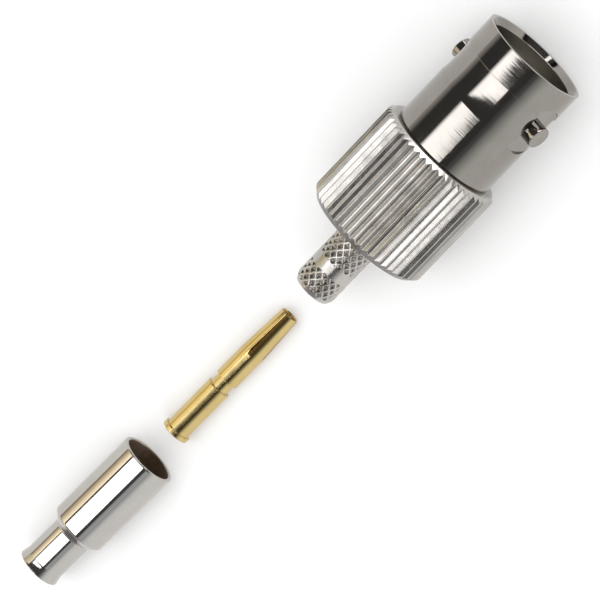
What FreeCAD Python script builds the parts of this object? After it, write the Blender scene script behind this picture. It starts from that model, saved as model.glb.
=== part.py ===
import FreeCAD, Part
import math
import os
import re
import Sketcher

# Bayonet coaxial crimp jack, laid out as three loose groups in one line: the jack, its
# centre contact and its crimp ferrule. X runs along the jack's axis, with the mating face
# at x = 0 and the cable leaving towards -X. Z is up, and every group lies on one plane.
# Lengths are in millimetres and angles in degrees.

SIZES = {
    # Front shell, turned from brass bar
    "mouth_diameter": 8.1,
    "mouth_depth": 8.4,
    "mouth_chamfer_depth": 0.48,
    "ring_wall": 0.775,
    "ring_length": 2.6,
    "rim_lip": 0.295,
    "waist_step": 0.1,
    "waist_length": 3.37,
    "barrel_step": 0.015,
    "shell_length": 11.0,
    "shoulder_chamfer": 0.12,
    "stop_lip_length": 0.8,
    "spigot_step": 0.51,
    "spigot_wall": 0.85,
    "spigot_chamfer": 0.3,
    # Bayonet lug pins and the flats that they stand on
    "lug_diameter": 2.0,
    "lug_stand": 0.69,
    "lug_depth": 4.2,
    "lug_edge": 0.12,
    "lug_elevation": 28.0,
    "flat_diameter": 4.8,
    "flat_cut": 0.375,
    # Insulator
    "insulator_face_depth": 3.2,
    "nose_diameter": 4.75,
    "nose_chamfer": 0.2,
    "snap_ridge_length": 0.7,
    "snap_ridge_ramp": 0.35,
    # Knurled collar
    "grip_step": 0.97,
    "collar_length": 9.75,
    "collar_front_chamfer": 0.43,
    "collar_rear_chamfer": 0.6,
    "ridge_count": 50,
    "ridge_depth": 0.3,
    "ridge_crest_width": 0.12,
    # Crimp stem
    "stem_wall": 0.545,
    "stem_length": 6.45,
    "stem_root_step": 0.2,
    "stem_flange_step": 1.35,
    "stem_flange_length": 1.2,
    "stem_nose_length": 0.6,
    "stem_nose_taper": 0.28,
    "stem_bore_chamfer": 0.15,
    # Centre contact, tip towards the mouth
    "contact_tip_depth": 3.4,
    "pin_hole_diameter": 1.38,
    "pin_hole_depth": 5.3,
    "tine_tip_wall": 0.145,
    "contact_taper_length": 4.7,
    "socket_wall": 0.4,
    "socket_length": 7.8,
    "neck_step": 0.215,
    "neck_length": 0.98,
    "conductor_hole_diameter": 0.66,
    "conductor_hole_depth": 4.2,
    "conductor_hole_chamfer": 0.25,
    "crimp_wall": 0.77,
    "crimp_barrel_length": 5.1,
    "contact_flange_step": 0.18,
    "contact_flange_length": 0.42,
    "slot_length": 4.7,
    "slot_root_width": 0.2,
    "slot_tip_width": 0.08,
    "slot_turn": -16.0,
    # Crimp ferrule, wide mouth towards the jack
    "ferrule_wall": 0.325,
    "ferrule_tube_length": 8.68,
    "ferrule_cone_length": 0.73,
    "ferrule_tail_length": 3.06,
    "ferrule_flare_length": 1.32,
    "ferrule_flare_step": 0.125,
    "ferrule_edge": 0.08,
    "cable_jacket_diameter": 2.8,
    "jacket_gap": 0.125,
    "braid_room": 0.345,
    # Fits, and the spaces between the three groups
    "press_gap": 0.01,
    "slip_gap": 0.05,
    "flange_gap": 0.08,
    "contact_spacing": 4.11,
    "contact_yaw": 0.74,
    "contact_side_offset": 0.05,
    "ferrule_spacing": 2.88,
    "ferrule_yaw": 1.55,
    "ferrule_side_offset": 0.45,
}

# Radii and diameters that follow from a bore, its wall and the steps outside it
MOUTH = "(mouth_diameter / 2)"
RING = f"({MOUTH} + ring_wall)"
WAIST = f"({RING} - waist_step)"
BARREL = f"({RING} - barrel_step)"
FLAT_HEIGHT = f"({RING} - flat_cut)"
LUG_END = f"({RING} + lug_stand)"
SPIGOT = f"({BARREL} - spigot_step)"
CORE = f"({SPIGOT} - spigot_wall)"
COLLAR = f"({BARREL} + grip_step)"
PIN_HOLE = "(pin_hole_diameter / 2)"
TINE_TIP = f"({PIN_HOLE} + tine_tip_wall)"
SOCKET = f"({PIN_HOLE} + socket_wall)"
NECK = f"({SOCKET} - neck_step)"
CONDUCTOR_HOLE = "(conductor_hole_diameter / 2)"
CRIMP_BARREL = f"({CONDUCTOR_HOLE} + crimp_wall)"
CONTACT_FLANGE = f"({CRIMP_BARREL} + contact_flange_step)"
STEM_BORE = f"({CONTACT_FLANGE} + flange_gap)"
STEM = f"({STEM_BORE} + stem_wall)"
STEM_ROOT = f"({STEM} + stem_root_step)"
STEM_FLANGE = f"({STEM} + stem_flange_step)"
FERRULE_BORE = f"({STEM} + braid_room)"
FERRULE = f"({FERRULE_BORE} + ferrule_wall)"
TAIL_BORE = "(cable_jacket_diameter / 2 + jacket_gap)"
TAIL = f"({TAIL_BORE} + ferrule_wall)"

# Depths behind the mating face, and lengths along the axis
CONTACT_LENGTH = (
    "(socket_length + neck_length + crimp_barrel_length + contact_flange_length)"
)
NECK_DEPTH = "(contact_tip_depth + socket_length)"
FLANGE_SEAT_DEPTH = f"({NECK_DEPTH} + neck_length + crimp_barrel_length)"
COLLAR_REAR_DEPTH = "(shell_length + collar_length)"
JACK_LENGTH = f"({COLLAR_REAR_DEPTH} + stem_length)"
STOP_LIP_DEPTH = "(mouth_depth + stop_lip_length)"
STEM_FLANGE_DEPTH = f"({FLANGE_SEAT_DEPTH} + stem_flange_length)"
RIDGE_START_DEPTH = f"({NECK_DEPTH} + (neck_length - snap_ridge_length) / 2)"
RIDGE_END_DEPTH = f"({RIDGE_START_DEPTH} + snap_ridge_length)"
FERRULE_LENGTH = (
    "(ferrule_flare_length + ferrule_tail_length"
    " + ferrule_cone_length + ferrule_tube_length)"
)

# The collar stands on the crests at both sides of a groove, which sets the ground. The
# contact lies on its flange and on the front end of its socket's straight part.
CREST_ANGLE = f"(180 / ridge_count - ridge_crest_width / {COLLAR} * 90 / pi)"
GROUND = f"(-{COLLAR} * cos({CREST_ANGLE}))"
CONTACT_PITCH = (
    f"atan(({CONTACT_FLANGE} - {SOCKET})"
    f" / ({CONTACT_LENGTH} - contact_taper_length - contact_flange_length))"
)
CONTACT_REAR = (
    f"(-{JACK_LENGTH} - contact_spacing - {CONTACT_LENGTH} * cos({CONTACT_PITCH}))"
)
FERRULE_REAR = f"({CONTACT_REAR} - ferrule_spacing - {FERRULE_LENGTH})"

document = FreeCAD.newDocument("BayonetCrimpJack")
sheet = document.addObject("Spreadsheet::Sheet", "Sizes")
for row, (alias, value) in enumerate(SIZES.items(), start=1):
    sheet.set(f"A{row}", alias)
    sheet.set(f"B{row}", str(value))
    sheet.setAlias(f"B{row}", alias)
document.recompute()


def bound(text):
    """The same formula with each size read from the sheet."""
    return re.sub(
        r"[a-z_]+",
        lambda word: f"Sizes.{word[0]}" if word[0] in SIZES else word[0],
        text,
    )


def number(text):
    """A formula's present value."""
    value = sheet.evalExpression(bound(text))
    return float(getattr(value, "Value", value))


def origin_feature(body, role):
    return next(part for part in body.Origin.OriginFeatures if part.Role == role)


def new_body(label):
    body = document.addObject("PartDesign::Body", label)
    body.Label = label
    return body


def new_sketch(body, name, plane):
    sketch = body.newObject("Sketcher::SketchObject", name)
    sketch.AttachmentSupport = (origin_feature(body, plane), [""])
    sketch.MapMode = "FlatFace"
    return sketch


def hollow_arc(start, end, centre_u):
    """The arc from start clockwise to end, about a centre at the given u."""
    gap = end - start
    rise = end.dot(end) - start.dot(start) - 2 * centre_u * gap.x
    centre = FreeCAD.Vector(centre_u, rise / (2 * gap.y), 0)
    angles = [math.atan2(place.y - centre.y, place.x - centre.x) for place in (end, start)]
    rim = Part.Circle(centre, FreeCAD.Vector(0, 0, 1), (start - centre).Length)
    return Part.ArcOfCircle(rim, *angles)


def outline(body, name, plane, corners, arc_centres=None):
    """A closed outline whose corners are pairs of formulas, each one a dimension.

    A corner named in arc_centres is followed by an arc, which runs clockwise about a centre
    at the u given there, and the other corners are followed by straight sides.
    """
    arc_centres = arc_centres or {}
    sketch = new_sketch(body, name, plane)

    def dimension(kind, formula, side, point, size):
        number_of = sketch.addConstraint(
            Sketcher.Constraint(kind, -1, 1, side, point, size)
        )
        sketch.setExpression(f"Constraints[{number_of}]", bound(formula))

    places = [FreeCAD.Vector(number(u), number(v), 0) for u, v in corners]
    count = len(places)
    for index, place in enumerate(places):
        following = places[(index + 1) % count]
        if index in arc_centres:
            side = hollow_arc(place, following, number(arc_centres[index]))
        else:
            side = Part.LineSegment(place, following)
        sketch.addGeometry(side, False)
    # A clockwise side ends at its own first point
    first = [2 if index in arc_centres else 1 for index in range(count)]
    for index in range(count):
        following = (index + 1) % count
        sketch.addConstraint(Sketcher.Constraint(
            "Coincident", index, 3 - first[index], following, first[following]
        ))
    for index, (u, v) in enumerate(corners):
        dimension("DistanceX", u, index, first[index], places[index].x)
        dimension("DistanceY", v, index, first[index], places[index].y)
    for index, centre_u in arc_centres.items():
        dimension("DistanceX", centre_u, index, 3, number(centre_u))
    return sketch


def circle(body, name, plane, centre_u, diameter):
    """A circle centred on the sketch's first axis."""
    sketch = new_sketch(body, name, plane)
    place = FreeCAD.Vector(number(centre_u), 0, 0)
    shape = Part.Circle(place, FreeCAD.Vector(0, 0, 1), number(diameter) / 2)
    sketch.addGeometry(shape, False)
    sketch.addConstraint(Sketcher.Constraint("PointOnObject", 0, 3, -1))
    along = sketch.addConstraint(
        Sketcher.Constraint("DistanceX", -1, 1, 0, 3, place.x)
    )
    sketch.setExpression(f"Constraints[{along}]", bound(centre_u))
    across = sketch.addConstraint(Sketcher.Constraint("Diameter", 0, number(diameter)))
    sketch.setExpression(f"Constraints[{across}]", bound(diameter))
    return sketch


def turned(body, name, corners, axis="H_Axis", arc_centres=None):
    """A solid of revolution about the sketch's own axis."""
    sketch = outline(body, f"{name}Outline", "XZ_Plane", corners, arc_centres)
    solid = body.newObject("PartDesign::Revolution", name)
    solid.Profile = sketch
    solid.ReferenceAxis = (sketch, [axis])
    solid.Angle = 360
    document.recompute()
    return solid


def through_cut(body, name, sketch):
    """A cut along the sketch's normal, right through to both sides."""
    cut = body.newObject("PartDesign::Pocket", name)
    cut.Profile = sketch
    cut.Type = "ThroughAll"
    cut.Midplane = True
    document.recompute()
    return cut


def depth(formula):
    """A place along the axis, measured behind the mating face."""
    return f"-{formula}"


def make_front_shell():
    """The plated shell: mouth ring, waist, barrel, stop lip and rear spigot."""
    body = new_body("front_shell")
    ring_rear = depth("ring_length")
    nose_way = "(nose_diameter / 2 + slip_gap)"
    core_way = f"({CORE} + press_gap)"
    corners = [
        ("0", RING),
        (ring_rear, RING),
        (ring_rear, WAIST),
        (depth("(ring_length + waist_length)"), BARREL),
        (depth("(shell_length - shoulder_chamfer)"), BARREL),
        (depth("shell_length"), f"{BARREL} - shoulder_chamfer"),
        (depth("shell_length"), SPIGOT),
        (depth(f"({FLANGE_SEAT_DEPTH} - spigot_chamfer)"), SPIGOT),
        (depth(FLANGE_SEAT_DEPTH), f"{SPIGOT} - spigot_chamfer"),
        (depth(FLANGE_SEAT_DEPTH), core_way),
        (depth(STOP_LIP_DEPTH), core_way),
        (depth(STOP_LIP_DEPTH), nose_way),
        (depth("mouth_depth"), nose_way),
        (depth("mouth_depth"), MOUTH),
        (depth("mouth_chamfer_depth"), MOUTH),
        ("0", f"{RING} - rim_lip"),
    ]
    # The waist is hollow: its arc leaves the ring's step level and rises to the barrel
    turned(body, "ShellTurning", corners, arc_centres={2: ring_rear})

    # Two flats are milled on opposite sides, and one hole is drilled through both walls
    flat = circle(body, "FlatOutline", "XY_Plane", depth("lug_depth"), "flat_diameter")
    flat.setExpression("AttachmentOffset.Base.z", bound(FLAT_HEIGHT))
    document.recompute()
    mill = body.newObject("PartDesign::Pocket", "LugFlat")
    mill.Profile = flat
    mill.Type = "Length"
    mill.setExpression("Length", bound(RING))
    mill.Reversed = True
    document.recompute()
    pair = body.newObject("PartDesign::Mirrored", "LugFlats")
    pair.Originals = [mill]
    pair.MirrorPlane = (origin_feature(body, "XY_Plane"), [""])
    body.Tip = pair
    document.recompute()
    hole_width = "lug_diameter + 2 * press_gap"
    hole = circle(body, "LugHoleOutline", "XY_Plane", depth("lug_depth"), hole_width)
    through_cut(body, "LugHole", hole)
    return body


def make_lug_pin(label, turn):
    """A bevelled pin pressed into the shell's wall, short of the mouth's bore."""
    body = new_body(label)
    corners = [
        ("0", f"{MOUTH} + press_gap"),
        ("lug_diameter / 2", f"{MOUTH} + press_gap"),
        ("lug_diameter / 2", f"{LUG_END} - lug_edge"),
        ("lug_diameter / 2 - lug_edge", LUG_END),
        ("0", LUG_END),
    ]
    turned(body, "PinTurning", corners, "V_Axis")
    about_x = FreeCAD.Rotation(FreeCAD.Vector(1, 0, 0), turn)
    body.Placement = FreeCAD.Placement(FreeCAD.Vector(), about_x)
    body.setExpression("Placement.Base.x", bound(depth("lug_depth")))
    document.recompute()
    return body


def make_insulator():
    """The white dielectric: a nose in the mouth, a core, and a ridge for the neck."""
    body = new_body("insulator")
    nose = "nose_diameter / 2"
    bore = f"({SOCKET} + slip_gap)"
    ridge = f"({NECK} + slip_gap)"
    rear_bore = f"({CRIMP_BARREL} + slip_gap)"
    corners = [
        (depth("insulator_face_depth"), f"{nose} - nose_chamfer"),
        (depth("(insulator_face_depth + nose_chamfer)"), nose),
        (depth(STOP_LIP_DEPTH), nose),
        (depth(STOP_LIP_DEPTH), CORE),
        (depth(FLANGE_SEAT_DEPTH), CORE),
        (depth(FLANGE_SEAT_DEPTH), rear_bore),
        (depth(f"({RIDGE_END_DEPTH} + snap_ridge_ramp)"), rear_bore),
        (depth(RIDGE_END_DEPTH), ridge),
        (depth(RIDGE_START_DEPTH), ridge),
        (depth(RIDGE_START_DEPTH), bore),
        (depth("insulator_face_depth"), bore),
    ]
    turned(body, "InsulatorTurning", corners)
    return body


def make_knurled_collar():
    """The grip: stepped bore, bevelled ends and a straight knurl of V grooves."""
    body = new_body("knurled_collar")
    spigot_way = f"({SPIGOT} + press_gap)"
    flange_way = f"({STEM_FLANGE} + press_gap)"
    root_way = f"({STEM_ROOT} + press_gap)"
    corners = [
        (depth("shell_length"), spigot_way),
        (depth("shell_length"), f"{COLLAR} - collar_front_chamfer"),
        (depth("(shell_length + collar_front_chamfer)"), COLLAR),
        (depth(f"({COLLAR_REAR_DEPTH} - collar_rear_chamfer)"), COLLAR),
        (depth(COLLAR_REAR_DEPTH), f"{COLLAR} - collar_rear_chamfer"),
        (depth(COLLAR_REAR_DEPTH), root_way),
        (depth(STEM_FLANGE_DEPTH), root_way),
        (depth(STEM_FLANGE_DEPTH), flange_way),
        (depth(FLANGE_SEAT_DEPTH), flange_way),
        (depth(FLANGE_SEAT_DEPTH), spigot_way),
    ]
    turned(body, "CollarTurning", corners)

    # Each groove's sides go on past the crests, to twice its depth above its root, and
    # leave the flat crest width between neighbours
    pitch = f"(2 * pi * {COLLAR} / ridge_count)"
    half_width = f"(({pitch} - ridge_crest_width) / 2)"
    corners = [
        ("0", f"{COLLAR} - ridge_depth"),
        (f"2 * {half_width}", f"{COLLAR} + ridge_depth"),
        (f"-2 * {half_width}", f"{COLLAR} + ridge_depth"),
    ]
    groove = outline(body, "GrooveOutline", "YZ_Plane", corners)
    cut = through_cut(body, "KnurlGroove", groove)
    knurl = body.newObject("PartDesign::PolarPattern", "Knurl")
    knurl.Originals = [cut]
    knurl.Axis = (origin_feature(body, "X_Axis"), [""])
    knurl.Angle = 360
    knurl.setExpression("Occurrences", bound("ridge_count"))
    body.Tip = knurl
    document.recompute()
    # A groove faces straight down, between the two crests that the collar stands on
    body.Placement = FreeCAD.Placement(
        FreeCAD.Vector(), FreeCAD.Rotation(FreeCAD.Vector(1, 0, 0), 180)
    )
    return body


def make_crimp_stem():
    """The tube that the braid is crimped on, held by a flange inside the collar."""
    body = new_body("crimp_stem")
    nose_start = f"({JACK_LENGTH} - stem_nose_length)"
    corners = [
        (depth(FLANGE_SEAT_DEPTH), STEM_BORE),
        (depth(FLANGE_SEAT_DEPTH), STEM_FLANGE),
        (depth(STEM_FLANGE_DEPTH), STEM_FLANGE),
        (depth(STEM_FLANGE_DEPTH), STEM_ROOT),
        (depth(COLLAR_REAR_DEPTH), STEM_ROOT),
        (depth(COLLAR_REAR_DEPTH), STEM),
        (depth(nose_start), STEM),
        (depth(JACK_LENGTH), f"{STEM} - stem_nose_taper"),
        (depth(JACK_LENGTH), f"{STEM_BORE} + stem_bore_chamfer"),
        (depth(f"({JACK_LENGTH} - stem_bore_chamfer)"), STEM_BORE),
    ]
    turned(body, "StemTurning", corners)
    return body


def make_centre_contact():
    """The loose contact: four sprung tines, neck, crimp barrel and end flange."""
    body = new_body("centre_contact")
    flange_front = "contact_flange_length"
    barrel_front = f"({flange_front} + crimp_barrel_length)"
    neck_front = f"({barrel_front} + neck_length)"
    tip_bevel = "(tine_tip_wall / 2)"
    pin_hole_end = f"({CONTACT_LENGTH} - pin_hole_depth)"
    corners = [
        ("0", f"{CONDUCTOR_HOLE} + conductor_hole_chamfer"),
        ("0", CONTACT_FLANGE),
        (flange_front, CONTACT_FLANGE),
        (flange_front, CRIMP_BARREL),
        (barrel_front, CRIMP_BARREL),
        (barrel_front, NECK),
        (neck_front, NECK),
        (neck_front, SOCKET),
        (f"({CONTACT_LENGTH} - contact_taper_length)", SOCKET),
        (CONTACT_LENGTH, TINE_TIP),
        (CONTACT_LENGTH, f"{PIN_HOLE} + {tip_bevel}"),
        (f"({CONTACT_LENGTH} - {tip_bevel})", PIN_HOLE),
        (pin_hole_end, PIN_HOLE),
        (f"({pin_hole_end} - {PIN_HOLE} / 2)", "0"),
        (f"(conductor_hole_depth + {CONDUCTOR_HOLE} / 2)", "0"),
        ("conductor_hole_depth", CONDUCTOR_HOLE),
        ("conductor_hole_chamfer", CONDUCTOR_HOLE),
    ]
    turned(body, "ContactTurning", corners)

    # Two saw cuts at right angles leave four tines, which are closed in towards the tip
    slot_root = f"({CONTACT_LENGTH} - slot_length)"
    past_tip = f"({CONTACT_LENGTH} + {tip_bevel})"
    corners = [
        (slot_root, "-slot_root_width / 2"),
        (past_tip, "-slot_tip_width / 2"),
        (past_tip, "slot_tip_width / 2"),
        (slot_root, "slot_root_width / 2"),
    ]
    for name, plane in (("Upright", "XY_Plane"), ("Level", "XZ_Plane")):
        slot = outline(body, f"{name}SlotOutline", plane, corners)
        through_cut(body, f"{name}Slot", slot)

    about_y = FreeCAD.Rotation(FreeCAD.Vector(0, 1, 0), number(CONTACT_PITCH))
    about_x = FreeCAD.Rotation(FreeCAD.Vector(1, 0, 0), number("slot_turn"))
    about_z = FreeCAD.Rotation(FreeCAD.Vector(0, 0, 1), -number("contact_yaw"))
    turn = about_z.multiply(about_y).multiply(about_x)
    body.Placement = FreeCAD.Placement(FreeCAD.Vector(), turn)
    height = (
        f"({GROUND} + contact_flange_length * sin({CONTACT_PITCH})"
        f" + {CONTACT_FLANGE} * cos({CONTACT_PITCH}))"
    )
    body.setExpression("Placement.Base.x", bound(CONTACT_REAR))
    body.setExpression("Placement.Base.y", "Sizes.contact_side_offset")
    body.setExpression("Placement.Base.z", bound(height))
    document.recompute()
    return body


def make_crimp_ferrule():
    """The loose sleeve: wide tube, cone, cable tail and a flared end, of one wall."""
    body = new_body("crimp_ferrule")
    flare_front = "ferrule_flare_length"
    tail_front = f"({flare_front} + ferrule_tail_length)"
    cone_front = f"({tail_front} + ferrule_cone_length)"
    mouth_edge = f"({FERRULE_LENGTH} - ferrule_edge)"
    corners = [
        ("0", f"{TAIL_BORE} + ferrule_flare_step"),
        ("0", f"{TAIL} + ferrule_flare_step"),
        (flare_front, TAIL),
        (tail_front, TAIL),
        (cone_front, FERRULE),
        (mouth_edge, FERRULE),
        (FERRULE_LENGTH, f"{FERRULE} - ferrule_edge"),
        (FERRULE_LENGTH, f"{FERRULE_BORE} + ferrule_edge"),
        (mouth_edge, FERRULE_BORE),
        (cone_front, FERRULE_BORE),
        (tail_front, TAIL_BORE),
        (flare_front, TAIL_BORE),
    ]
    turned(body, "FerruleTurning", corners)
    about_z = FreeCAD.Rotation(FreeCAD.Vector(0, 0, 1), -number("ferrule_yaw"))
    body.Placement = FreeCAD.Placement(FreeCAD.Vector(), about_z)
    body.setExpression("Placement.Base.x", bound(FERRULE_REAR))
    body.setExpression("Placement.Base.y", bound("ferrule_side_offset"))
    body.setExpression("Placement.Base.z", bound(f"({GROUND} + {FERRULE})"))
    document.recompute()
    return body


# The shell is turned about the axis until its lug flats face the lug pins
LUG_TURN = 90 - number("lug_elevation")
front_shell = make_front_shell()
front_shell.Placement = FreeCAD.Placement(
    FreeCAD.Vector(), FreeCAD.Rotation(FreeCAD.Vector(1, 0, 0), LUG_TURN)
)
pieces = [
    front_shell,
    make_lug_pin("near_lug_pin", LUG_TURN),
    make_lug_pin("far_lug_pin", LUG_TURN + 180),
    make_insulator(),
    make_knurled_collar(),
    make_crimp_stem(),
    make_centre_contact(),
    make_crimp_ferrule(),
]
document.recompute()

for item in document.Objects:
    if "Invalid" in item.State or "Error" in item.State:
        raise RuntimeError(f"{item.Name} did not build")
for piece in pieces:
    shape = piece.Shape
    if shape.isNull() or not shape.isValid() or len(shape.Solids) != 1:
        raise RuntimeError(f"{piece.Label} is not one valid solid")

os.makedirs("parts", exist_ok=True)
for piece in pieces:
    piece.Shape.exportStep(f"parts/{piece.Label}.step")
    box = piece.Shape.BoundBox
    print(
        f"{piece.Label}: {piece.Shape.Volume:.3f} cubic mm,"
        f" x {box.XMin:.3f} to {box.XMax:.3f}, z {box.ZMin:.3f} to {box.ZMax:.3f}"
    )
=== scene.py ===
import math
import random

import bpy
import numpy as np
from mathutils import Matrix, Vector


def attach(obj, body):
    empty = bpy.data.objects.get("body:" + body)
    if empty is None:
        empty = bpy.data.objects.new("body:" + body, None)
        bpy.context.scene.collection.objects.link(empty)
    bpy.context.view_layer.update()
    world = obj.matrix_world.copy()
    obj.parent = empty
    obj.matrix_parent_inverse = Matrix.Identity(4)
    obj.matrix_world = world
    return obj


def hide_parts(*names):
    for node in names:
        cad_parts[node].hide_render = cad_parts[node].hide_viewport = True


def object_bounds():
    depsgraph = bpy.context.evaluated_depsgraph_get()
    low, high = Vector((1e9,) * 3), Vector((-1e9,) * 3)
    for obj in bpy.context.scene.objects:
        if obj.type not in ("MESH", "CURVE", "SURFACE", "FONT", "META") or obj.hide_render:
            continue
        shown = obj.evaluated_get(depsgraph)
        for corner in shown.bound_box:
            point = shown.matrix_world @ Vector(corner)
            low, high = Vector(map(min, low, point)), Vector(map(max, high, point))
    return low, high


# Looks of a bayonet coaxial crimp jack that lies with its loose centre contact and its
# crimp ferrule on a pale floor. X runs along the jack's axis out of its mouth, Z is up.
# Sizes below are in millimetres, and meshes are made in metres.

MM = 0.001
SEGMENTS = 288
ARC_STEP = math.radians(12)
ROUNDING_SHARE = 0.45

# Jack: places along the axis, then radii
RING_REAR = -2.6
BARREL_FRONT = -5.97
SHELL_END = -11.0
FLANGE_SEAT = -17.28
STEM_FLANGE_END = -18.48
COLLAR_END = -20.75
JACK_END = -27.2
MOUTH_FLOOR = -8.4
LIP_REAR = -9.2
INSULATOR_FACE = -3.2
RING_R = 4.825
BARREL_R = 4.81
MOUTH_R = 4.05
SPIGOT_R = 4.3
CORE_R = 3.45
NOSE_R = 2.375
COLLAR_R = 5.78
STEM_R = 1.905
STEM_ROOT_R = 2.105
STEM_FLANGE_R = 3.255
STEM_BORE_R = 1.36
PRESS_GAP = 0.01
SLIP_GAP = 0.05

# Lug pins and the flats under them
LUG_X = -4.2
LUG_R = 1.0
LUG_REACH = 5.515
LUG_TURN = 62
FLAT_HEIGHT = 4.6
FLAT_R = 2.4

# Knurled collar
RIDGES = 50
RIDGE_DEPTH = 0.3
CREST_WIDTH = 0.12
FRONT_BEVEL = 0.43
REAR_BEVEL = 0.6

# Loose pieces
CONTACT_LENGTH = 14.3
CONTACT_FLANGE = 0.42
CONTACT_FLANGE_R = 1.28
SOCKET_R = 1.09
TAPER_LENGTH = 4.7
CONTACT_SPACING = 4.11
CONTACT_TURN = -16
CONTACT_YAW = -0.74
CONTACT_SIDE = 0.05
FERRULE_LENGTH = 13.79
FERRULE_R = 2.575
FERRULE_SPACING = 2.88
FERRULE_YAW = -1.55
FERRULE_SIDE = 0.45

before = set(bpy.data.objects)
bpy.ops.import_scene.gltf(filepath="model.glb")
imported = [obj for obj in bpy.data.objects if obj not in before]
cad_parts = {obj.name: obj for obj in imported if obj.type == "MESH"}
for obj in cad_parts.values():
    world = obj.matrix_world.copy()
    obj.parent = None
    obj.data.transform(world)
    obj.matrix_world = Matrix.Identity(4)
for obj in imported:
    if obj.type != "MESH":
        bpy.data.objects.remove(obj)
cad_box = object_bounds()
GROUND = cad_box[0][2] / MM
random.seed(7)


def rounded(corners, closed=True):
    """Points of an outline whose corners are (u, v, radius), and which of them are sharp."""
    points = []
    sharp = []
    count = len(corners)
    for index, (u, v, radius) in enumerate(corners):
        here = Vector((u, v))
        at_end = not closed and index in (0, count - 1)
        if radius == 0 or at_end:
            points.append((u, v))
            sharp.append(True)
            continue
        before = Vector(corners[index - 1][:2]) - here
        after = Vector(corners[(index + 1) % count][:2]) - here
        turn = math.pi - before.angle(after)
        longest = ROUNDING_SHARE * min(before.length, after.length)
        reach = min(radius * math.tan(turn / 2), longest)
        start = here + before.normalized() * reach
        end = here + after.normalized() * reach
        steps = max(2, math.ceil(turn / ARC_STEP))
        for step in range(steps + 1):
            share = step / steps
            bend = (1 - share) ** 2 * start + 2 * share * (1 - share) * here + share ** 2 * end
            points.append(tuple(bend))
            sharp.append(False)
    return np.array(points), np.array(sharp)


def unit(vectors):
    """The vectors at length one."""
    return vectors / np.maximum(np.linalg.norm(vectors, axis=-1, keepdims=True), 1e-12)


def woven(name, grid, sharp, closed, placing=None):
    """A closed solid over a grid of stations and columns, with its own exact normals."""
    grid = grid * MM
    if closed:
        before, after = np.roll(grid, 1, axis=0), np.roll(grid, -1, axis=0)
    else:
        before = np.concatenate([grid[:1], grid[:-1]])
        after = np.concatenate([grid[1:], grid[-1:]])
    across = np.roll(grid, -1, axis=1) - np.roll(grid, 1, axis=1)
    if not closed:
        across[0], across[-1] = across[1], across[-2]
    smooth = np.cross(across, after - before)
    incoming = np.where(sharp[:, None, None], np.cross(across, grid - before), smooth)
    outgoing = np.where(sharp[:, None, None], np.cross(across, after - grid), smooth)
    side = np.roll(grid, -1, axis=1)
    volume = (grid * np.cross(side - grid, after - grid)).sum()
    flip = -1 if volume < 0 else 1
    incoming, outgoing = flip * unit(incoming), flip * unit(outgoing)

    stations, columns = grid.shape[:2]
    index = np.arange(stations * columns).reshape(stations, columns)
    poles = []
    if not closed:
        for row, ends in ((0, outgoing), (-1, incoming)):
            index[row] = index[row, 0]
            ends[row] = unit(ends[row].mean(axis=0))
            poles.append(index[row, 0])
    faces = []
    normals = []
    last = stations if closed else stations - 1
    for row in range(last):
        following = (row + 1) % stations
        for column in range(columns):
            beside = (column + 1) % columns
            ring = [
                (index[row, column], outgoing[row, column]),
                (index[row, beside], outgoing[row, beside]),
                (index[following, beside], incoming[following, beside]),
                (index[following, column], incoming[following, column]),
            ]
            if ring[0][0] == ring[1][0]:
                ring.pop(1)
            elif ring[2][0] == ring[3][0]:
                ring.pop(3)
            if flip < 0:
                ring.reverse()
            faces.append([int(corner) for corner, _ in ring])
            normals.extend(normal for _, normal in ring)
    points = grid.reshape(-1, 3)
    if poles:
        kept = np.zeros(len(points), dtype=bool)
        kept[index.reshape(-1)] = True
        fresh = np.cumsum(kept) - 1
        points = points[kept]
        faces = [[int(fresh[corner]) for corner in face] for face in faces]
    mesh = bpy.data.meshes.new(name)
    mesh.from_pydata(points.tolist(), [], faces)
    mesh.polygons.foreach_set("use_smooth", [True] * len(faces))
    mesh.normals_split_custom_set(np.array(normals).tolist())
    if placing is not None:
        mesh.transform(placing)
    piece = bpy.data.objects.new(name, mesh)
    bpy.context.collection.objects.link(piece)
    return piece


def turned(name, corners, closed=True, segments=SEGMENTS, placing=None):
    """A turning about X, from corners (place along X, radius, rounding)."""
    outline, sharp = rounded(corners, closed)
    angles = math.pi + 2 * math.pi * np.arange(segments) / segments
    grid = np.empty((len(outline), segments, 3))
    grid[:, :, 0] = outline[:, :1]
    grid[:, :, 1] = outline[:, 1:] * np.sin(angles)
    grid[:, :, 2] = outline[:, 1:] * np.cos(angles)
    return woven(name, grid, sharp, closed, placing)


def outline_normals(corners, closed=True):
    """Each straight or rounded stretch of a turning's outline with its end normals."""
    outline, sharp = rounded(corners, closed)
    count = len(outline)
    pairs = range(count if closed else count - 1)
    area = sum(
        outline[i][0] * outline[(i + 1) % count][1] - outline[(i + 1) % count][0] * outline[i][1]
        for i in range(count)
    )
    sign = 1 if area > 0 else -1
    stretches = []
    for i in pairs:
        here, there = outline[i], outline[(i + 1) % count]
        before, beyond = outline[i - 1], outline[(i + 2) % count]
        start = there - here if sharp[i] else there - before
        end = there - here if sharp[(i + 1) % count] else beyond - here
        stretches.append((here, there, start, end))
    return [
        (here, there, sign * np.array([start[1], -start[0]]), sign * np.array([end[1], -end[0]]))
        for here, there, start, end in stretches
    ]


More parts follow.
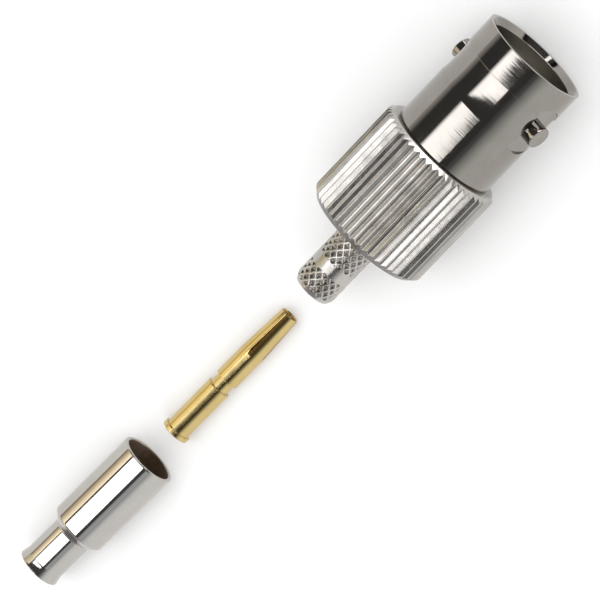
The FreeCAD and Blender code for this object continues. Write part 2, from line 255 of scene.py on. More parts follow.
def recut(piece, cutters, corners, closed=True, placing=None):
    """Takes the cutters out of a turning, then gives its turned faces exact normals."""
    # While it is cut, the second material tells the cut faces from the turned ones
    for cutter in cutters:
        for polygon in cutter.data.polygons:
            polygon.material_index = 1
        cut = piece.modifiers.new("Cut", "BOOLEAN")
        cut.operation = "DIFFERENCE"
        cut.solver = "EXACT"
        cut.object = cutter
    piece.data.materials.append(None)
    piece.data.materials.append(None)
    graph = bpy.context.evaluated_depsgraph_get()
    mesh = bpy.data.meshes.new_from_object(piece.evaluated_get(graph))
    piece.modifiers.clear()
    piece.data = mesh
    for cutter in cutters:
        bpy.data.objects.remove(cutter)

    stretches = outline_normals(corners, closed)
    starts = np.array([stretch[0] for stretch in stretches])
    ways = np.array([stretch[1] - stretch[0] for stretch in stretches])
    lengths = np.maximum((ways ** 2).sum(axis=1), 1e-12)
    normals = [None] * len(mesh.loops)
    home = placing.inverted() if placing is not None else Matrix.Identity(4)
    turn = placing.to_3x3() if placing is not None else Matrix.Identity(3)
    for polygon in mesh.polygons:
        polygon.use_smooth = True
        middle = home @ polygon.center / MM
        flat = np.array([middle.x, math.hypot(middle.y, middle.z)])
        share = np.clip(((flat - starts) * ways).sum(axis=1) / lengths, 0, 1)
        away = np.linalg.norm(starts + share[:, None] * ways - flat, axis=1)
        nearest = int(away.argmin())
        here, there, start, end = stretches[nearest]
        for loop in polygon.loop_indices:
            if polygon.material_index == 1:
                normals[loop] = polygon.normal
                continue
            spot = home @ mesh.vertices[mesh.loops[loop].vertex_index].co / MM
            radius = math.hypot(spot.y, spot.z)
            place = np.array([spot.x, radius])
            passed = ((place - here) * (there - here)).sum() / lengths[nearest]
            along = float(np.clip(passed, 0, 1))
            mixed = unit(start) * (1 - along) + unit(end) * along
            spin = mixed[1] / max(radius, 1e-9)
            normals[loop] = (turn @ Vector((mixed[0], spot.y * spin, spot.z * spin))).normalized()
    for polygon in mesh.polygons:
        polygon.material_index = 0
    mesh.materials.clear()
    mesh.normals_split_custom_set([tuple(normal) for normal in normals])
    return piece


def prism(name, outline, low, high, placing):
    """A cutter: an outline in X and Y, raised from low to high along Z."""
    count = len(outline)
    points = [(u * MM, v * MM, low * MM) for u, v in outline]
    points += [(u * MM, v * MM, high * MM) for u, v in outline]
    faces = [list(range(count))[::-1], list(range(count, 2 * count))]
    for index in range(count):
        beside = (index + 1) % count
        faces.append([index, beside, count + beside, count + index])
    mesh = bpy.data.meshes.new(name)
    mesh.from_pydata(points, [], faces)
    mesh.transform(placing)
    cutter = bpy.data.objects.new(name, mesh)
    bpy.context.collection.objects.link(cutter)
    return cutter


def about(axis, degrees):
    """A turn about an axis."""
    return Matrix.Rotation(math.radians(degrees), 4, axis)


def shifted(x, y, z):
    """A move, in millimetres."""
    return Matrix.Translation((x * MM, y * MM, z * MM))


def mark_painted_shading(piece, gets_painted_shading):
    """Notes the points that get a painted tone of light and shade and a rougher finish, which the
    piece's material reads.
    """
    marks = piece.data.attributes.new("painted_shading_and_roughness", "FLOAT", "POINT")
    for vertex, mark in zip(piece.data.vertices, marks.data):
        mark.value = 1.0 if gets_painted_shading(vertex) else 0.0


def mark_bore_painted_shading(piece, placing=None):
    """Marks the walls that face the piece's own axis for a painted tone of light and shade and a
    rougher finish.
    """
    home = placing.inverted() if placing is not None else Matrix.Identity(4)
    squarely = 0.85

    def faces_axis(vertex):
        spot = home @ vertex.co
        way = home.to_3x3() @ vertex.normal
        inward = -(spot.y * way.y + spot.z * way.z) / max(math.hypot(spot.y, spot.z), 1e-9)
        return inward > squarely

    mark_painted_shading(piece, faces_axis)


def made(piece, node, material):
    """Stands for a node of the frame, with its finish."""
    piece.data.materials.clear()
    piece.data.materials.append(material)
    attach(piece, "root")
    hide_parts(node)


def new_material(name):
    material = bpy.data.materials.new(name)
    material.use_nodes = True
    return material, material.node_tree.nodes, material.node_tree.links


def noise(nodes, links, scale, detail=3.0, roughness=0.55):
    """Noise in the object's own space, with its own scale along each axis."""
    place = nodes.new("ShaderNodeTexCoord")
    mapping = nodes.new("ShaderNodeMapping")
    mapping.inputs["Scale"].default_value = scale
    texture = nodes.new("ShaderNodeTexNoise")
    texture.inputs["Scale"].default_value = 1.0
    texture.inputs["Detail"].default_value = detail
    texture.inputs["Roughness"].default_value = roughness
    links.new(place.outputs["Object"], mapping.inputs["Vector"])
    links.new(mapping.outputs["Vector"], texture.inputs["Vector"])
    return texture.outputs["Fac"]


def spread(nodes, links, source, low, high, floor=0.3, ceiling=0.7):
    """A noise's middle range stretched over low to high."""
    node = nodes.new("ShaderNodeMapRange")
    node.inputs["From Min"].default_value = floor
    node.inputs["From Max"].default_value = ceiling
    node.inputs["To Min"].default_value = low
    node.inputs["To Max"].default_value = high
    links.new(source, node.inputs["Value"])
    return node.outputs["Result"]


def bumps(nodes, links, layers):
    """Bumps laid over each other, each a height and its depth in millimetres."""
    normal = None
    for height, depth in layers:
        bump = nodes.new("ShaderNodeBump")
        bump.inputs["Strength"].default_value = 1.0
        bump.inputs["Distance"].default_value = depth * MM
        links.new(height, bump.inputs["Height"])
        if normal is not None:
            links.new(normal, bump.inputs["Normal"])
        normal = bump.outputs["Normal"]
    return normal


def plated(name, light, dark, roughness, layers, painted_shading_and_roughness=None):
    """A plated metal: two close tones, uneven polish and the marks of its making.

    The last argument gives the marked points a painted tone of light and shade, and a rougher
    finish where plating is thinner, inside a tube or on a rough cut.
    """
    material, nodes, links = new_material(name)
    shader = nodes["Principled BSDF"]
    shader.inputs["Metallic"].default_value = 1.0
    tone = nodes.new("ShaderNodeMix")
    tone.data_type = "RGBA"
    tone.inputs["A"].default_value = (*dark, 1)
    tone.inputs["B"].default_value = (*light, 1)
    clouds = noise(nodes, links, (420, 420, 420), 4.0)
    links.new(spread(nodes, links, clouds, 0, 1), tone.inputs["Factor"])
    links.new(tone.outputs["Result"], shader.inputs["Base Color"])
    polish = noise(nodes, links, (900, 500, 500), 5.0, 0.65)
    finish = spread(nodes, links, polish, *roughness)
    links.new(finish, shader.inputs["Roughness"])
    if painted_shading_and_roughness is not None:
        # Painted light and shade: where the mark is set, the given tone replaces the plating's own
        # and the given roughness replaces its polish.
        painted_shading_mask = nodes.new("ShaderNodeAttribute")
        painted_shading_mask.attribute_name = "painted_shading_and_roughness"
        for socket, source, kind, value in (
            ("Base Color", tone.outputs["Result"], "RGBA", (*painted_shading_and_roughness[0], 1)),
            ("Roughness", finish, "FLOAT", painted_shading_and_roughness[1]),
        ):
            change = nodes.new("ShaderNodeMix")
            change.data_type = kind
            before, after = [put for put in change.inputs if put.enabled and put.name in "AB"]
            after.default_value = value
            links.new(painted_shading_mask.outputs["Fac"], change.inputs[0])
            links.new(source, before)
            result = next(out for out in change.outputs if out.enabled)
            links.new(result, shader.inputs[socket])
    heights = [(noise(nodes, links, *texture), depth) for texture, depth in layers]
    links.new(bumps(nodes, links, heights), shader.inputs["Normal"])
    return material


def dielectric():
    """Waxy white fluoropolymer with fine turning marks."""
    material, nodes, links = new_material("white_dielectric")
    shader = nodes["Principled BSDF"]
    tone = nodes.new("ShaderNodeMix")
    tone.data_type = "RGBA"
    tone.inputs["A"].default_value = (0.80, 0.79, 0.75, 1)
    tone.inputs["B"].default_value = (0.90, 0.89, 0.86, 1)
    clouds = noise(nodes, links, (700, 700, 700), 4.0)
    links.new(spread(nodes, links, clouds, 0, 1), tone.inputs["Factor"])
    links.new(tone.outputs["Result"], shader.inputs["Base Color"])
    shader.inputs["Subsurface Weight"].default_value = 0.25
    shader.inputs["Subsurface Scale"].default_value = 0.0006
    polish = noise(nodes, links, (1500, 900, 900), 4.0)
    links.new(spread(nodes, links, polish, 0.38, 0.55), shader.inputs["Roughness"])
    marks = noise(nodes, links, (14000, 200, 200), 3.0)
    links.new(bumps(nodes, links, [(marks, 0.004)]), shader.inputs["Normal"])
    return material


# Turning marks run round each piece, so their noise is fine along X and long across it
TURNING = ((5000, 110, 110), 3.0, 0.6)
CHATTER = ((2600, 240, 240), 2.0, 0.5)
GRAIN = ((16000, 16000, 16000), 2.0, 0.5)
ROLLED = ((500, 9000, 9000), 3.0, 0.6)

POLISHED = plated(
    "polished_nickel",
    light=(0.285, 0.265, 0.24),
    dark=(0.255, 0.237, 0.213),
    roughness=(0.05, 0.1),
    layers=[(TURNING, 0.0028), (CHATTER, 0.001)],
    # Painted light: a paler tone brightens the walls of the shell's bores, with a rougher finish.
    painted_shading_and_roughness=((0.38, 0.355, 0.31), 0.3),
)
KNURLED = plated(
    "knurled_nickel",
    light=(0.48, 0.455, 0.42),
    dark=(0.37, 0.35, 0.325),
    roughness=(0.16, 0.28),
    layers=[(ROLLED, 0.0014), (GRAIN, 0.0006)],
    # Painted shade: a darker tone on the collar's rear bevel.
    painted_shading_and_roughness=((0.19, 0.182, 0.175), 0.3),
)
BRIGHT = plated(
    "bright_nickel",
    light=(0.47, 0.45, 0.42),
    dark=(0.43, 0.41, 0.385),
    roughness=(0.04, 0.09),
    layers=[(TURNING, 0.0002), (CHATTER, 0.0003)],
    # Painted shade: a darker, browner tone inside the ferrule, with a rougher finish.
    painted_shading_and_roughness=((0.42, 0.33, 0.25), 0.5),
)
GOLD = plated(
    "gold_plate",
    light=(0.61, 0.465, 0.205),
    dark=(0.54, 0.41, 0.17),
    roughness=(0.06, 0.1),
    layers=[(TURNING, 0.0004), (CHATTER, 0.0004)],
    # Painted light: a paler gold inside the contact's holes, with a rougher finish.
    painted_shading_and_roughness=((0.85, 0.62, 0.3), 0.6),
)
DIELECTRIC = dielectric()


def front_shell():
    """Mouth ring, waist, cone, barrel and spigot, with the two lug flats milled."""
    barrel_bevel = 0.12
    spigot_chamfer = 0.3
    mouth_bevel_length = 0.48
    mouth_lip = 0.295
    # The waist's slope in degrees at places along the axis, from the barrel to the ring
    slope_at = {BARREL_FRONT: 9.5, -5.6: 6, -5.2: 2.5, -4.6: 0.7, -3.94: -0.9, -3.3: -1.5}
    hollow = np.linspace(BARREL_FRONT, RING_REAR, 33)
    slopes = np.tan(np.radians(np.interp(hollow, list(slope_at), list(slope_at.values()))))
    step = hollow[1] - hollow[0]
    falls = np.concatenate([[0], (slopes[1:] + slopes[:-1]) / 2 * step])
    waist = BARREL_R - np.cumsum(falls)
    corners = [
        (0, RING_R, 0.04),
        (RING_REAR, RING_R, 0.02),
    ]
    corners += [(*place, 2.0) for place in zip(hollow[:0:-1], waist[:0:-1])]
    corners += [
        (BARREL_FRONT, BARREL_R, 0.05),
        (SHELL_END + barrel_bevel, BARREL_R, 0.04),
        (SHELL_END, BARREL_R - barrel_bevel, 0.02),
        (SHELL_END, SPIGOT_R, 0),
        (FLANGE_SEAT + spigot_chamfer, SPIGOT_R, 0.05),
        (FLANGE_SEAT, SPIGOT_R - spigot_chamfer, 0.05),
        (FLANGE_SEAT, CORE_R + PRESS_GAP, 0),
        (LIP_REAR, CORE_R + PRESS_GAP, 0),
        (LIP_REAR, NOSE_R + SLIP_GAP, 0.05),
        (MOUTH_FLOOR, NOSE_R + SLIP_GAP, 0.05),
        (MOUTH_FLOOR, MOUTH_R, 0.1),
        (-mouth_bevel_length, MOUTH_R, 0.08),
        (0, RING_R - mouth_lip, 0.03),
    ]
    piece = turned("front_shell_turning", corners)
    rim_points = 96
    around = [2 * math.pi * step / rim_points for step in range(rim_points)]
    rim = [(FLAT_R * math.cos(angle), FLAT_R * math.sin(angle)) for angle in around]
    cutters = [
        prism("flat", rim, FLAT_HEIGHT, RING_R + 1, about("X", side) @ shifted(LUG_X, 0, 0))
        for side in (LUG_TURN, LUG_TURN + 180)
    ]
    recut(piece, cutters, corners)
    # Painted light: the shell's bore walls take the paler tone.
    mark_bore_painted_shading(piece)
    made(piece, "front_shell", POLISHED)


def lug_pin(node, side):
    """A round-ended pin with a shallow turned dimple in its end."""
    dimple_r = 0.24
    dimple_depth = 0.05
    corners = [
        (MOUTH_R + PRESS_GAP, 0, 0),
        (MOUTH_R + PRESS_GAP, LUG_R, 0.05),
        (LUG_REACH, LUG_R, 0.13),
        (LUG_REACH, dimple_r, 0.05),
        (LUG_REACH - dimple_depth, 0, 0),
    ]
    upright = about("X", side) @ shifted(LUG_X, 0, 0) @ about("Y", -90)
    piece = turned(f"{node}_turning", corners, closed=False, segments=96, placing=upright)
    made(piece, node, POLISHED)


def insulator():
    """White dielectric: nose in the mouth, core, snap ridge and contact bore."""
    chamfer = 0.2
    rear_bore_r = 1.15
    ridge_front = -11.34
    ridge_rear = -12.04
    ridge_ramp = 0.35
    ridge_r = 0.925
    corners = [
        (INSULATOR_FACE, NOSE_R - chamfer, 0.05),
        (INSULATOR_FACE - chamfer, NOSE_R, 0.05),
        (LIP_REAR, NOSE_R, 0),
        (LIP_REAR, CORE_R, 0),
        (FLANGE_SEAT, CORE_R, 0),
        (FLANGE_SEAT, rear_bore_r, 0.05),
        (ridge_rear - ridge_ramp, rear_bore_r, 0.05),
        (ridge_rear, ridge_r, 0.03),
        (ridge_front, ridge_r, 0.03),
        (ridge_front, SOCKET_R + SLIP_GAP, 0.03),
        (INSULATOR_FACE, SOCKET_R + SLIP_GAP, 0.08),
    ]
    piece = turned("insulator_turning", corners, segments=160)
    made(piece, "insulator", DIELECTRIC)


def knurled_collar():
    """Grip with a straight knurl whose rounded grooves run out on both bevels."""
    pitch = 2 * math.pi / RIDGES
    half = (pitch - CREST_WIDTH / COLLAR_R) / 2
    section = []
    for groove in range(RIDGES):
        middle = math.pi + groove * pitch
        wander = random.uniform(-0.012, 0.012) * pitch
        depth = RIDGE_DEPTH * random.uniform(0.93, 1.0)
        crest_round = random.uniform(0.045, 0.075)
        for angle, radius, rounding in (
            (middle - half, COLLAR_R, crest_round),
            (middle + wander, COLLAR_R - depth, 0.045),
            (middle + half, COLLAR_R, crest_round),
        ):
            section.append((radius * math.sin(angle), radius * math.cos(angle), rounding))
    rim, _ = rounded(section)
    reach = np.minimum(np.linalg.norm(rim, axis=1), COLLAR_R)
    angles = np.arctan2(rim[:, 0], rim[:, 1])
    front_r, rear_r = COLLAR_R - FRONT_BEVEL, COLLAR_R - REAR_BEVEL
    # Small breaks where the bevels meet the faces, and where the grooves run out
    face_break = 0.02
    front_break = 0.015
    rear_break = 0.012
    edge = 0.03
    slope = edge * math.sqrt(0.5)
    past_bevel = 1.0
    even = np.ones_like(reach)
    front_end = SHELL_END - (reach - front_r)
    rear_end = COLLAR_END + (reach - rear_r)
    lines = [
        (SHELL_END * even, (SPIGOT_R + PRESS_GAP) * even, True),
        (SHELL_END * even, (front_r - face_break) * even, False),
        ((SHELL_END - front_break) * even, (front_r + front_break) * even, False),
        (front_end + slope, reach - slope, False),
        (front_end - edge, reach, False),
        (front_end - past_bevel, reach, False),
        (rear_end + past_bevel, reach, False),
        (rear_end + edge, reach, False),
        (rear_end - slope, reach - slope, False),
        ((COLLAR_END + rear_break) * even, (rear_r + rear_break) * even, False),
        (COLLAR_END * even, (rear_r - face_break) * even, False),
        (COLLAR_END * even, (STEM_ROOT_R + PRESS_GAP) * even, True),
        (STEM_FLANGE_END * even, (STEM_ROOT_R + PRESS_GAP) * even, True),
        (STEM_FLANGE_END * even, (STEM_FLANGE_R + PRESS_GAP) * even, True),
        (FLANGE_SEAT * even, (STEM_FLANGE_R + PRESS_GAP) * even, True),
        (FLANGE_SEAT * even, (SPIGOT_R + PRESS_GAP) * even, True),
    ]
    grid = np.array([
        np.stack([along, radius * np.sin(angles), radius * np.cos(angles)], axis=1)
        for along, radius, _ in lines
    ])
    piece = woven("knurled_collar_grip", grid, np.array([line[2] for line in lines]), True)
    slack = 0.01

    # Painted shade: the rear bevel's points take the darker tone.
    def rear_bevel_painted_shade(vertex):
        along, radius = vertex.co.x / MM, math.hypot(vertex.co.y, vertex.co.z) / MM
        bevel = COLLAR_END + (radius - rear_r)
        return rear_r - edge < radius and along < bevel + slack

    mark_painted_shading(piece, rear_bevel_painted_shade)
    made(piece, "knurled_collar", KNURLED)


def crimp_stem():
    """Tube with two bands of diamond pits, a plain band between them and a nose."""
    pits_around = 16
    pit_period = 0.86
    pit_depth = 0.19
    pit_half = 0.39
    # The two bands lie between these places, and their pits fade in over a short run
    bands = ((-23.88, COLLAR_END - 0.1), (-26.86, -24.88))
    band_fade = 0.1
    nose_length = 0.6
    nose_drop = 0.28
    rim_break = 0.05
    bore_chamfer = 0.15
    columns_per_pit = 22
    row_step = 0.042
    columns = pits_around * columns_per_pit
    angles = math.pi + 2 * math.pi * np.arange(columns) / columns
    knurl_rows = np.arange(JACK_END + nose_length / 2, COLLAR_END, row_step)[::-1]
    rows = [(FLANGE_SEAT, STEM_BORE_R, True), (FLANGE_SEAT, STEM_FLANGE_R, True)]
    rows += [(STEM_FLANGE_END, STEM_FLANGE_R, True), (STEM_FLANGE_END, STEM_ROOT_R, True)]
    rows += [(COLLAR_END, STEM_ROOT_R, True), (COLLAR_END, STEM_R, True)]
    for along in knurl_rows:
        drop = max(0.0, JACK_END + nose_length - along) / nose_length * nose_drop
        rows.append((along, STEM_R - drop, False))
    rows += [(JACK_END + rim_break, STEM_R - nose_drop + 0.02, False)]
    rows += [(JACK_END, STEM_R - nose_drop - rim_break, False)]
    rows += [(JACK_END, STEM_BORE_R + bore_chamfer, False)]
    rows += [(JACK_END + bore_chamfer, STEM_BORE_R, False)]
    along = np.array([row[0] for row in rows])
    radius = np.array([row[1] for row in rows])
    sharp = np.array([row[2] for row in rows])
    length, turn = np.meshgrid(along, angles, indexing="ij")
    u = length / pit_period
    v = pits_around * turn / (2 * math.pi)
    first, second = u + v, u - v
    away = np.maximum(abs(first - np.round(first)), abs(second - np.round(second)))
    pits = pit_depth * np.clip(1 - away / pit_half, 0, 1)
    window = np.zeros_like(length)
    for low, high in bands:
        inside = np.minimum(length - low, high - length) / band_fade
        window = np.maximum(window, np.clip(inside, 0, 1))
    on_tube = (radius > STEM_R - nose_drop - rim_break / 2) & (radius <= STEM_R)
    solid = radius[:, None] - pits * window * on_tube[:, None]
    grid = np.stack([length, solid * np.sin(turn), solid * np.cos(turn)], axis=2)
    piece = woven("crimp_stem_tube", grid, sharp, True)
    made(piece, "crimp_stem", KNURLED)


def contact_lie():
    """The contact's pitch, lying on its flange and its socket, and its rear end's place."""
    rise = CONTACT_FLANGE_R - SOCKET_R
    pitch = math.atan(rise / (CONTACT_LENGTH - TAPER_LENGTH - CONTACT_FLANGE))
    return pitch, JACK_END - CONTACT_SPACING - CONTACT_LENGTH * math.cos(pitch)


def contact_placing():
    """Where the contact lies on the floor, rolled and turned a little."""
    pitch, rear = contact_lie()
    height = GROUND + CONTACT_FLANGE * math.sin(pitch) + CONTACT_FLANGE_R * math.cos(pitch)
    turn = about("Z", CONTACT_YAW) @ Matrix.Rotation(pitch, 4, "Y") @ about("X", CONTACT_TURN)
    return shifted(rear, CONTACT_SIDE, height) @ turn


def centre_contact():
    """Gold contact: flange, crimp barrel, neck and a socket slit into four tines."""
    crimp_r = 1.1
    neck_r = 0.875
    neck_rear = 5.52
    neck_front = 6.5
    tip_r = 0.835
    tip_chamfer = 0.0725
    pin_hole_r = 0.69
    pin_hole_end = 9.0
    pin_hole_point = 0.345
    wire_hole_r = 0.33
    wire_hole_end = 4.2
    wire_hole_point = 0.165
    wire_chamfer = 0.25
    # A hair-thin bore joins the two holes, so that the turning stays one closed ring
    core_r = 0.02
    corners = [
        (0, wire_hole_r + wire_chamfer, 0.05),
        (0, CONTACT_FLANGE_R, 0.06),
        (CONTACT_FLANGE, CONTACT_FLANGE_R, 0.06),
        (CONTACT_FLANGE, crimp_r, 0.03),
        (neck_rear, crimp_r, 0.06),
        (neck_rear, neck_r, 0.03),
        (neck_front, neck_r, 0.03),
        (neck_front, SOCKET_R, 0.06),
        (CONTACT_LENGTH - TAPER_LENGTH, SOCKET_R, 0.6),
        (CONTACT_LENGTH, tip_r, 0.05),
        (CONTACT_LENGTH, pin_hole_r + tip_chamfer, 0.02),
        (CONTACT_LENGTH - tip_chamfer, pin_hole_r, 0.02),
        (pin_hole_end, pin_hole_r, 0.05),
        (pin_hole_end - pin_hole_point, core_r, 0),
        (wire_hole_end + wire_hole_point, core_r, 0),
        (wire_hole_end, wire_hole_r, 0.02),
        (wire_chamfer, wire_hole_r, 0.02),
    ]
    placing = contact_placing()
    piece = turned("centre_contact_turning", corners, segments=192, placing=placing)
    # Each slot starts in a point at the taper's root and narrows again towards the tip
    slot_length = 4.7
    run_in = 0.5
    wide = 0.08
    narrow = 0.04
    past_tip = 0.1
    root, tip = CONTACT_LENGTH - slot_length, CONTACT_LENGTH + past_tip
    slot = [(root, 0), (root + run_in, -wide), (tip, -narrow), (tip, narrow),
            (root + run_in, wide)]
    cutters = [
        prism("slot", slot, -2, 2, placing @ about("X", quarter))
        for quarter in (0, 90)
    ]
    recut(piece, cutters, corners, placing=placing)
    # Painted light: the contact's hole walls take the paler gold.
    mark_bore_painted_shading(piece, placing)
    made(piece, "centre_contact", GOLD)


def crimp_ferrule():
    """Drawn sleeve: wide tube, shoulder, cable tail and a flared end of one wall."""
    wall = 0.325
    tail_bore = 1.525
    tail_end = 4.38
    cone_end = 5.11
    flare_length = 1.15
    flare_rise = 0.17
    steps = 6
    flare = [
        (flare_length * (1 - step / steps), tail_bore + flare_rise * (step / steps) ** 1.8)
        for step in range(steps + 1)
    ]
    corners = [(along, radius + wall, 2.0) for along, radius in flare[:0:-1]]
    corners[0] = (corners[0][0], corners[0][1], 0.08)
    corners += [
        (tail_end, tail_bore + wall, 0.25),
        (cone_end, FERRULE_R, 0.35),
        (FERRULE_LENGTH, FERRULE_R, 0.14),
        (FERRULE_LENGTH, FERRULE_R - wall, 0.12),
        (cone_end, FERRULE_R - wall, 0.25),
        (tail_end, tail_bore, 0.25),
    ]
    corners += [(along, radius, 2.0) for along, radius in flare]
    corners[-1] = (corners[-1][0], corners[-1][1], 0.08)
    _, contact_rear = contact_lie()
    rear = contact_rear - FERRULE_SPACING - FERRULE_LENGTH
    placing = shifted(rear, FERRULE_SIDE, GROUND + FERRULE_R) @ about("Z", FERRULE_YAW)
    piece = turned("crimp_ferrule_sleeve", corners, placing=placing)
    # Painted shade: the ferrule's bore walls take the darker, browner tone.
    mark_bore_painted_shading(piece, placing)
    made(piece, "crimp_ferrule", BRIGHT)


def plane(name, corners):
    """A flat sheet over four corners, in metres."""
    mesh = bpy.data.meshes.new(name)
    mesh.from_pydata(corners, [], [[0, 1, 2, 3]])
    panel = bpy.data.objects.new(name, mesh)
    bpy.context.collection.objects.link(panel)
    return panel


def floor():
    """A plain pale floor under the three groups."""
    reach = 3.0
    level = cad_box[0][2]
    slab = plane("floor", [(-reach, -reach, level), (reach, -reach, level),
                           (reach, reach, level), (-reach, reach, level)])
    material, nodes, links = new_material("pale_floor")
    shader = nodes["Principled BSDF"]
    shader.inputs["Base Color"].default_value = (0.88, 0.88, 0.88, 1)
    shader.inputs["Specular IOR Level"].default_value = 0.1
    paper = noise(nodes, links, (220, 220, 220), 4.0)
    links.new(spread(nodes, links, paper, 0.85, 0.95), shader.inputs["Roughness"])
    slab.data.materials.append(material)


def fill_light():
    """A soft square light over the pieces, which the metal doesn't mirror."""
    centre, target = Vector((-0.1, 0.1, 0.6)), Vector((-0.03, 0, 0))
    light = bpy.data.lights.new("fill", "AREA")
    light.size = 0.5
    light.energy = 1.2
    lamp = bpy.data.objects.new("fill", light)
    lamp.location = centre
    lamp.rotation_euler = (target - centre).to_track_quat("-Z", "Y").to_euler()
    lamp.visible_camera = False
    lamp.visible_glossy = False
    bpy.context.collection.objects.link(lamp)


def reflector(name, corners, first, last):
    """A card that glows in the first colour along its first edge and fades to the last."""
    card = plane(name, corners)
    card.data.uv_layers.new(name="card")
    for loop, place in zip(card.data.uv_layers["card"].data, ((0, 0), (1, 0), (1, 1), (0, 1))):
        loop.uv = place
    material, nodes, links = new_material(name)
    nodes.clear()
    output = nodes.new("ShaderNodeOutputMaterial")
    glow = nodes.new("ShaderNodeEmission")
    place = nodes.new("ShaderNodeUVMap")
    place.uv_map = "card"
    split = nodes.new("ShaderNodeSeparateXYZ")
    tone = nodes.new("ShaderNodeMix")
    tone.data_type = "RGBA"
    tone.inputs["A"].default_value = (*first, 1)
    tone.inputs["B"].default_value = (*last, 1)
    links.new(place.outputs["UV"], split.inputs["Vector"])
    links.new(split.outputs["Y"], tone.inputs["Factor"])
    links.new(tone.outputs["Result"], glow.inputs["Color"])
    links.new(glow.outputs["Emission"], output.inputs["Surface"])
    card.data.materials.append(material)
    card.visible_camera = False
    card.visible_diffuse = False
    card.visible_shadow = False


def upright(x, y, low, high):
    """Corners of a standing card from its top edge down, between two points on the floor."""
    return [(x[0], y[0], high), (x[1], y[1], high), (x[1], y[1], low), (x[0], y[0], low)]


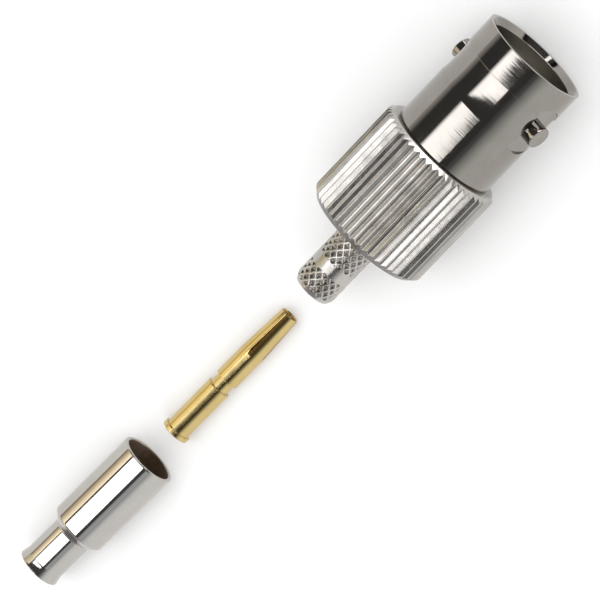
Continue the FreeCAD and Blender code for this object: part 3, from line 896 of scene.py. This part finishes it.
def studio():
    """An even pale surround, and the cards and softboxes that the metal mirrors, in metres."""
    world = bpy.data.worlds.new("studio")
    bpy.context.scene.world = world
    world.use_nodes = True
    sky = world.node_tree.nodes["Background"]
    sky.inputs["Color"].default_value = (1.0, 1.0, 1.0, 1)
    sky.inputs["Strength"].default_value = 1.05
    world.cycles_visibility.glossy = False
    fill_light()

    # Each group mirrors its own part of the overhead cards
    height = 0.4
    white = (3.9, 3.95, 4.1)
    overhead = {
        "jack_fade": ((-0.1702, 0.40), (-0.0651, 0.40), (-0.0717, 0.31), (-0.1562, 0.31),
                      (0.15, 0.15, 0.15), white),
        "jack_box_far": ((-0.1562, 0.31), (-0.0717, 0.31), (-0.0821, 0.17), (-0.1345, 0.17),
                         white, white),
        "jack_box_near": ((-0.1345, 0.17), (-0.0821, 0.17), (-0.0987, -0.057), (-0.129, -0.061),
                          white, white),
        "ferrule_box_far": ((-0.30, 0.446), (-0.2129, 0.423), (-0.171, 0.17), (-0.28, 0.17),
                            white, white),
        "ferrule_box_near": ((-0.28, 0.17), (-0.171, 0.17), (-0.1675, -0.063), (-0.265, -0.079),
                             white, white),
        "contact_box": ((-0.2255, 0.5), (-0.187, 0.5), (-0.1472, 0.25), (-0.1842, 0.25),
                        (1.45, 1.45, 1.35), (1.5, 1.55, 1.7)),
        "contact_fade": ((-0.1842, 0.25), (-0.1472, 0.25), (-0.1345, 0.17), (-0.171, 0.17),
                         (1.5, 1.55, 1.7), (0.8, 0.82, 0.86)),
        "contact_dusk": ((-0.171, 0.17), (-0.1345, 0.17), (-0.1305, 0.03), (-0.1645, 0.03),
                         (0.8, 0.82, 0.86), (0.1, 0.095, 0.085)),
        "contact_dark": ((-0.1645, 0.03), (-0.1305, 0.03), (-0.132, -0.11), (-0.171, -0.11),
                         (0.1, 0.095, 0.085), (0.05, 0.045, 0.035)),
    }
    for name, (*places, first, last) in overhead.items():
        reflector(name, [(x, y, height) for x, y in places], first, last)
    dome = 0.7
    dim = (0.09, 0.09, 0.09)
    reflector("dim_ceiling", [(-9, 9, dome), (9, 9, dome), (9, -9, dome), (-9, -9, dome)],
              dim, dim)

    # A tall card on the near side fades upwards, and warm ones on the far side fade downwards
    side = -0.30
    ends = (-0.7, 0.4)
    levels = (0.923, 0.499, 0.333, 0.187, -0.005)
    glows = ((0.04, 0.043, 0.047), (0.19, 0.2, 0.205), (0.62, 0.64, 0.645), (1.1, 1.12, 1.13),
             (1.17, 1.19, 1.2))
    for step in range(len(glows) - 1):
        reflector(f"side_card_{step}", upright(ends, (side, side), levels[step + 1], levels[step]),
                  glows[step], glows[step + 1])
    nearer = side + 0.01
    reflector("side_ferrule", [(-1.3, nearer, 1.4), (-0.48, nearer, 1.4),
                               (-0.195, nearer, 0.38), (-1.3, nearer, 0.38)],
              (0.09, 0.115, 0.13), (0.66, 0.7, 0.73))
    warm = 0.12
    reflector("warm_ferrule", [(-0.30, warm, 0.083), (-0.0875, warm, 0.083),
                               (-0.0803, warm, -0.0055), (-0.30, warm, -0.0055)],
              (2.4, 2.1, 1.55), (0.27, 0.2, 0.11))
    reflector("warm_contact", [(-0.0905, warm, 0.1), (-0.05, warm, 0.1),
                               (-0.05, warm, 0.0), (-0.0803, warm, 0.0)],
              (1.75, 1.6, 1.25), (0.8, 0.69, 0.4))
    # A dark flag keeps the jack's softbox off the contact's taper
    low = 0.02
    reflector("taper_flag", [(-0.0405, 0.0145, low), (-0.0333, 0.0145, low),
                             (-0.0333, -0.0045, low), (-0.0405, -0.0045, low)],
              (0.3, 0.2, 0.08), (0.06, 0.055, 0.05))
    # The bevels, the ferrule's shoulder and the mouth's edge look rearwards and forwards
    rear = -0.5
    reflector("rear_card", upright((rear, rear), (0.4, -0.4), -0.005, 0.46),
              (0.3, 0.29, 0.31), (0.5, 0.48, 0.52))
    reflector("far_card", upright((-0.125, 0.1), (0.3, 0.3), -0.005, 0.075),
              dim, (0.85, 0.84, 0.82))
    front = 0.062
    reflector("front_card", [(front, 0.06, 0.05), (front, -0.03, 0.065),
                             (front, -0.03, 0.016), (front, 0.06, 0.003)], white, white)
    reflector("front_glint", upright((front, front), (0.0125, 0.0175), 0.0025, 0.0065),
              white, white)


def camera():
    """A long lens over the line of pieces, turned so that the mouth is upper right."""
    target = Vector((-28.48 * MM, 0.12 * MM, 0))
    tilt, roll, distance = math.radians(15.06), math.radians(46.3), 0.405
    back = Vector((math.sin(tilt), 0, math.cos(tilt)))
    along = Vector((math.cos(tilt), 0, -math.sin(tilt)))
    across = Vector((0, 1, 0))
    right = along * math.cos(roll) - across * math.sin(roll)
    up = along * math.sin(roll) + across * math.cos(roll)
    data = bpy.data.cameras.new("camera")
    data.sensor_width = 36
    data.lens = 294
    data.clip_start = 0.01
    lens = bpy.data.objects.new("camera", data)
    lens.matrix_world = Matrix.Translation(target + back * distance) @ Matrix(
        (right, up, back)
    ).transposed().to_4x4()
    bpy.context.collection.objects.link(lens)
    bpy.context.scene.camera = lens


front_shell()
lug_pin("near_lug_pin", LUG_TURN)
lug_pin("far_lug_pin", LUG_TURN + 180)
insulator()
knurled_collar()
crimp_stem()
centre_contact()
crimp_ferrule()
floor()
studio()
camera()
bpy.context.scene.view_settings.view_transform = "Standard"
